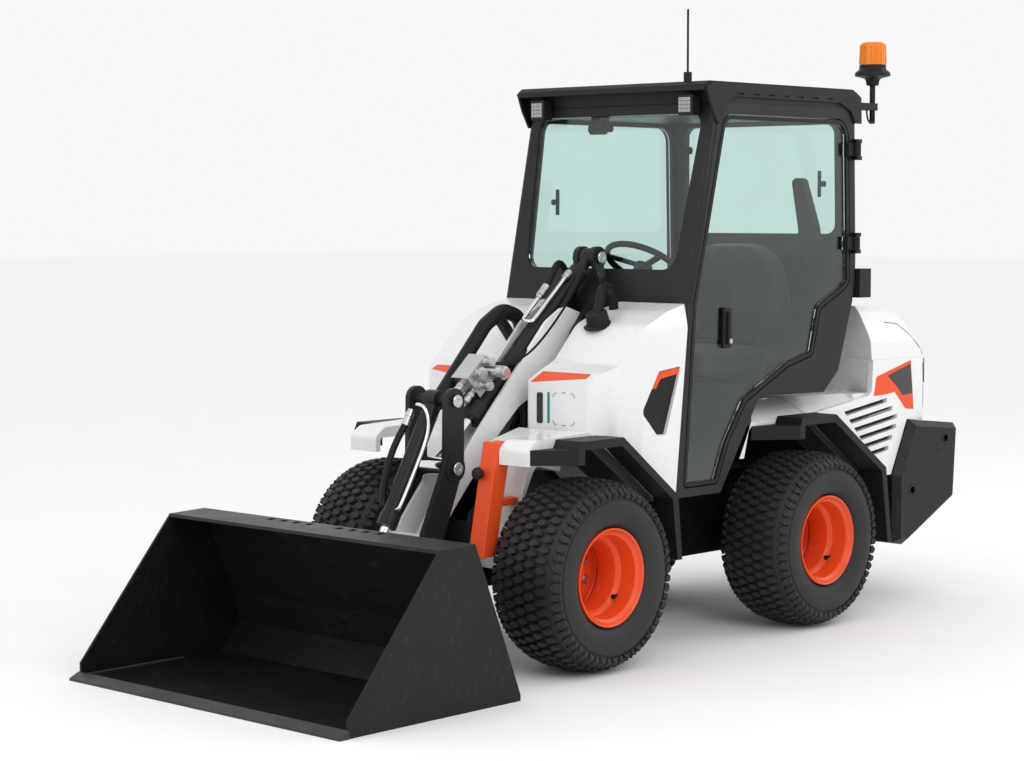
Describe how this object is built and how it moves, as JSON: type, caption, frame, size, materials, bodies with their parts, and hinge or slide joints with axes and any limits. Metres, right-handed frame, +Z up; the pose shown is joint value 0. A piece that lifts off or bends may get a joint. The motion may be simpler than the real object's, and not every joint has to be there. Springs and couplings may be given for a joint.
{
  "type": "compact articulated wheel loader",
  "caption": "Compact wheel loader hinged at mid length, with a glazed cab, single centre boom, front bucket and turf tyres.",
  "frame": {"origin": "on the ground under the middle of the overall length and width", "axes": "+X forward to the bucket, +Y to the driver's left, +Z up"},
  "size_m": [3.6216, 1.326, 2.2893],
  "materials": {
    "white_paint": "gloss paint",
    "black_paint": "satin paint",
    "charcoal_paint": "satin paint",
    "orange_paint": "gloss paint",
    "rim_orange": "gloss paint",
    "chrome_rod": "polished",
    "glass": "clear",
    "tyre": "matte",
    "black_plastic": "moulded",
    "seat_cover": "vinyl",
    "lamp": "clear lens on black housing",
    "amber": "amber lens",
    "steel": "worn edge"
  },
  "bodies": {
    "front_frame": {"front_chassis": "charcoal_paint", "front_axle": "black_paint", "steer_bracket": "black_paint", "front_cowls": "white_paint", "front_flares": "black_plastic", "nose_panel": "white_paint", "lock_post": "orange_paint", "cab_tub": "charcoal_paint", "cab_frame": "charcoal_paint", "cab_roof": "black_plastic", "cab_glass": "glass", "door_hinges": "black_paint", "seat": "seat_cover", "steering_column": "black_plastic", "console": "black_plastic", "work_lights": "lamp", "rear_lamps": "lamp", "beacon_post": "black_plastic", "beacon": "amber", "antenna": "black_plastic"},
    "door": {"door_frame": "black_plastic", "door_glass": "glass"},
    "boom": {"boom": "white_paint", "boom_hoses": "black_plastic"},
    "carrier": {"carrier": "charcoal_paint"},
    "level_link": {"level_barrel": "charcoal_paint", "level_rod": "chrome_rod", "aux_couplers": "steel"},
    "bucket": {"coupler": "black_paint", "bucket": "black_paint", "cutting_edge": "steel"},
    "tilt_barrel": {"tilt_barrel": "charcoal_paint"},
    "tilt_rod": {"tilt_rod": "chrome_rod"},
    "lift_barrel": {"lift_barrel": "charcoal_paint"},
    "lift_rod": {"lift_rod": "chrome_rod"},
    "steer_barrel": {"steer_barrel": "charcoal_paint"},
    "steer_rod": {"steer_rod": "chrome_rod"},
    "rear_frame": {"rear_chassis": "black_paint", "rear_axle": "black_paint", "rear_deck": "white_paint", "rear_flares": "black_plastic", "side_panels": "white_paint", "counterweight": "black_paint", "engine": "black_paint"},
    "hood": {"hood": "white_paint", "tail_panel": "black_plastic"},
    "wheel_front_left": {"tyre_front_left": "tyre", "rim_front_left": "rim_orange"},
    "wheel_front_right": {"tyre_front_right": "tyre", "rim_front_right": "rim_orange"},
    "wheel_rear_left": {"tyre_rear_left": "tyre", "rim_rear_left": "rim_orange"},
    "wheel_rear_right": {"tyre_rear_right": "tyre", "rim_rear_right": "rim_orange"}
  },
  "joints": [
    {"name": "boom_lift", "type": "hinge", "parent": "front_frame", "child": "boom", "pos_m": [0.051, 0, 1.141], "axis": [0, -1, 0], "range_deg": [0, 95]},
    {"name": "carrier_level", "type": "hinge", "parent": "boom", "child": "carrier", "pos_m": [0.861, 0, 0.43], "axis": [0, -1, 0], "range_deg": [-95, 0]},
    {"name": "level_swing", "type": "hinge", "parent": "front_frame", "child": "level_link", "pos_m": [-0.062, 0, 1.394], "axis": [0, -1, 0], "range_deg": [0, 95]},
    {"name": "bucket_tilt", "type": "hinge", "parent": "carrier", "child": "bucket", "pos_m": [0.896, 0, 0.3], "axis": [0, 1, 0], "range_deg": [-40, 45]},
    {"name": "tilt_ram_swing", "type": "hinge", "parent": "carrier", "child": "tilt_barrel", "pos_m": [0.746, 0, 0.915], "axis": [0, 1, 0], "range_deg": [-2.9, 3.2]},
    {"name": "tilt_ram_slide", "type": "slide", "parent": "tilt_barrel", "child": "tilt_rod", "axis": [0.4876, 0, -0.8731], "range_m": [-0.11, 0.1236]},
    {"name": "lift_ram_swing", "type": "hinge", "parent": "front_frame", "child": "lift_barrel", "pos_m": [0.296, 0, 0.332], "axis": [0, -1, 0], "range_deg": [-0.5, 3.08]},
    {"name": "lift_ram_slide", "type": "slide", "parent": "lift_barrel", "child": "lift_rod", "axis": [-0.082, 0, 0.9966], "range_m": [-0.002, 0.3411]},
    {"name": "articulation", "type": "hinge", "parent": "front_frame", "child": "rear_frame", "pos_m": [-0.124, 0, 0.376], "axis": [0, 0, 1], "range_deg": [-40, 40]},
    {"name": "steer_ram_swing", "type": "hinge", "parent": "front_frame", "child": "steer_barrel", "pos_m": [0.356, -0.19, 0.385], "axis": [0, 0, 1], "range_deg": [-7.72, 7.72]},
    {"name": "steer_ram_slide", "type": "slide", "parent": "steer_barrel", "child": "steer_rod", "axis": [-0.9999, -0.0167, 0], "range_m": [-0.1342, 0.1342]},
    {"name": "door_swing", "type": "hinge", "parent": "front_frame", "child": "door", "pos_m": [-1.086, 0.473, 1.62], "axis": [0, 0, 1], "range_deg": [0, 90]},
    {"name": "hood_lift", "type": "hinge", "parent": "rear_frame", "child": "hood", "pos_m": [-1.716, 0, 0.752], "axis": [0, -1, 0], "range_deg": [0, 55]},
    {"name": "spin_front_left", "type": "hinge", "parent": "front_frame", "child": "wheel_front_left", "pos_m": [0.498, 0.462, 0.33], "axis": [0, 1, 0], "continuous": true},
    {"name": "spin_front_right", "type": "hinge", "parent": "front_frame", "child": "wheel_front_right", "pos_m": [0.498, -0.462, 0.33], "axis": [0, 1, 0], "continuous": true},
    {"name": "spin_rear_left", "type": "hinge", "parent": "rear_frame", "child": "wheel_rear_left", "pos_m": [-0.746, 0.462, 0.33], "axis": [0, 1, 0], "continuous": true},
    {"name": "spin_rear_right", "type": "hinge", "parent": "rear_frame", "child": "wheel_rear_right", "pos_m": [-0.746, -0.462, 0.33], "axis": [0, 1, 0], "continuous": true}
  ],
  "couplings": [
    {"joint": "carrier_level", "follows": "boom_lift", "ratio": -1},
    {"joint": "level_swing", "follows": "boom_lift", "ratio": 1},
    {"joint": "lift_ram_swing", "follows": "boom_lift", "ratio": 0.02718},
    {"joint": "lift_ram_slide", "follows": "boom_lift", "m_per_rad": 0.20451},
    {"joint": "tilt_ram_swing", "follows": "bucket_tilt", "ratio": 0.060065},
    {"joint": "tilt_ram_slide", "follows": "bucket_tilt", "m_per_rad": 0.15477},
    {"joint": "steer_ram_swing", "follows": "articulation", "ratio": 0.18046},
    {"joint": "steer_ram_slide", "follows": "articulation", "m_per_rad": -0.18943}
  ]
}
